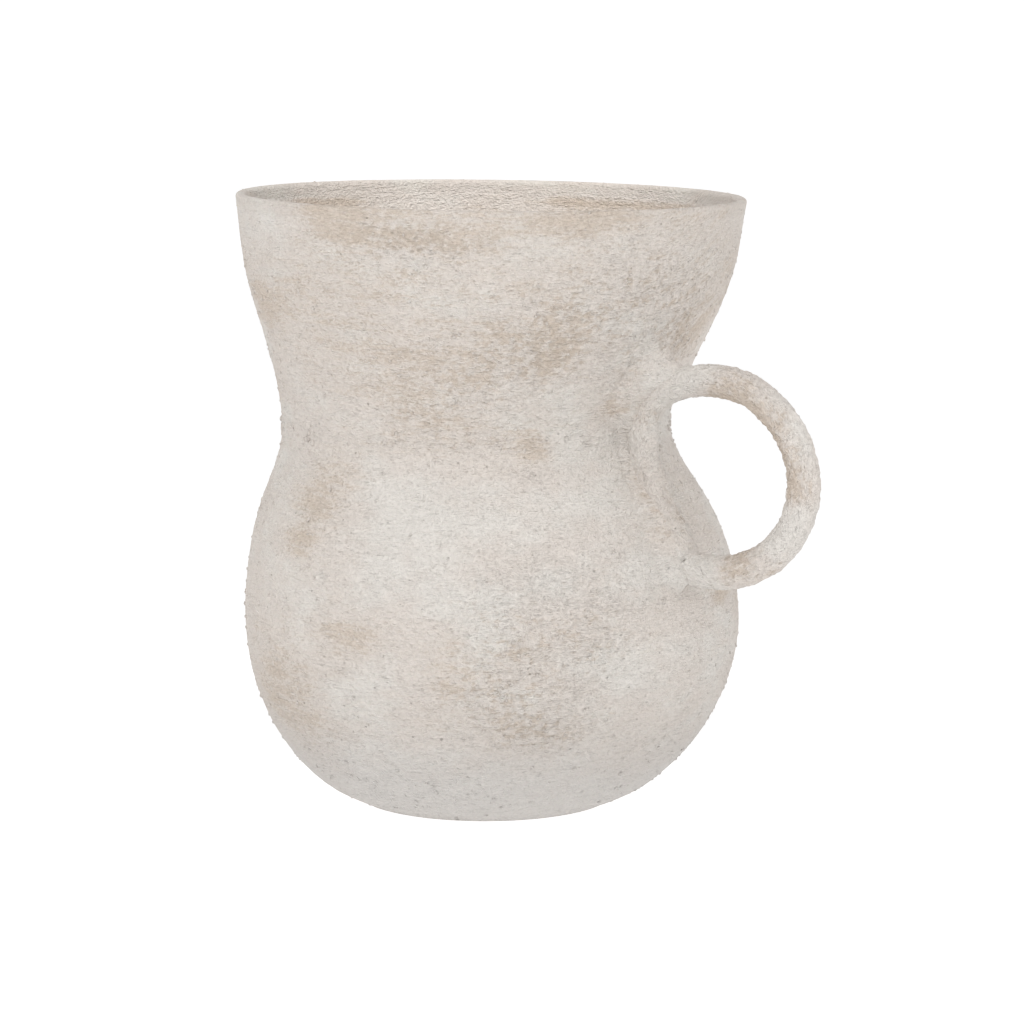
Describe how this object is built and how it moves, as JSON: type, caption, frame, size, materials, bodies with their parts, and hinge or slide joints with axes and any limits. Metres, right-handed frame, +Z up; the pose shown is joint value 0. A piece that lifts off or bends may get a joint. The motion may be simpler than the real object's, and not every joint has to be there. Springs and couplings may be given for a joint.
{
  "type": "hand-built ceramic jug",
  "caption": "Wide-mouthed round-bellied jug with a pinched waist and a full ring handle luted to the wall.",
  "frame": {"origin": "centre of the flat face that the jug stands on", "axes": "+Z up out of the mouth, +X from the pot's middle towards the ring handle, +Y across the ring so that the frame is right-handed"},
  "size_m": [0.3018, 0.235, 0.282],
  "materials": {
    "body_clay": "coarse grogged clay under a dry, chalky off-white slip, brushed round the pot and worn to the tan clay in patches",
    "seam_clay": "crumbly luting slip, off-white",
    "lip_clay": "off-white slip, wiped smoother than the wall",
    "handle_clay": "rolled coil under chalky slip, rubbed tan on its inner side",
    "luting_clay": "smeared clay and thick slip, rough, off-white over tan"
  },
  "bodies": {
    "root": {"base_slab": "body_clay", "belly_wall": "body_clay", "waist_seam": "seam_clay", "neck_wall": "body_clay", "rim_lip": "lip_clay", "ring_handle": "handle_clay", "handle_upper_luting": "luting_clay", "handle_wall_luting": "luting_clay", "handle_lower_luting": "luting_clay"}
  },
  "joints": []
}
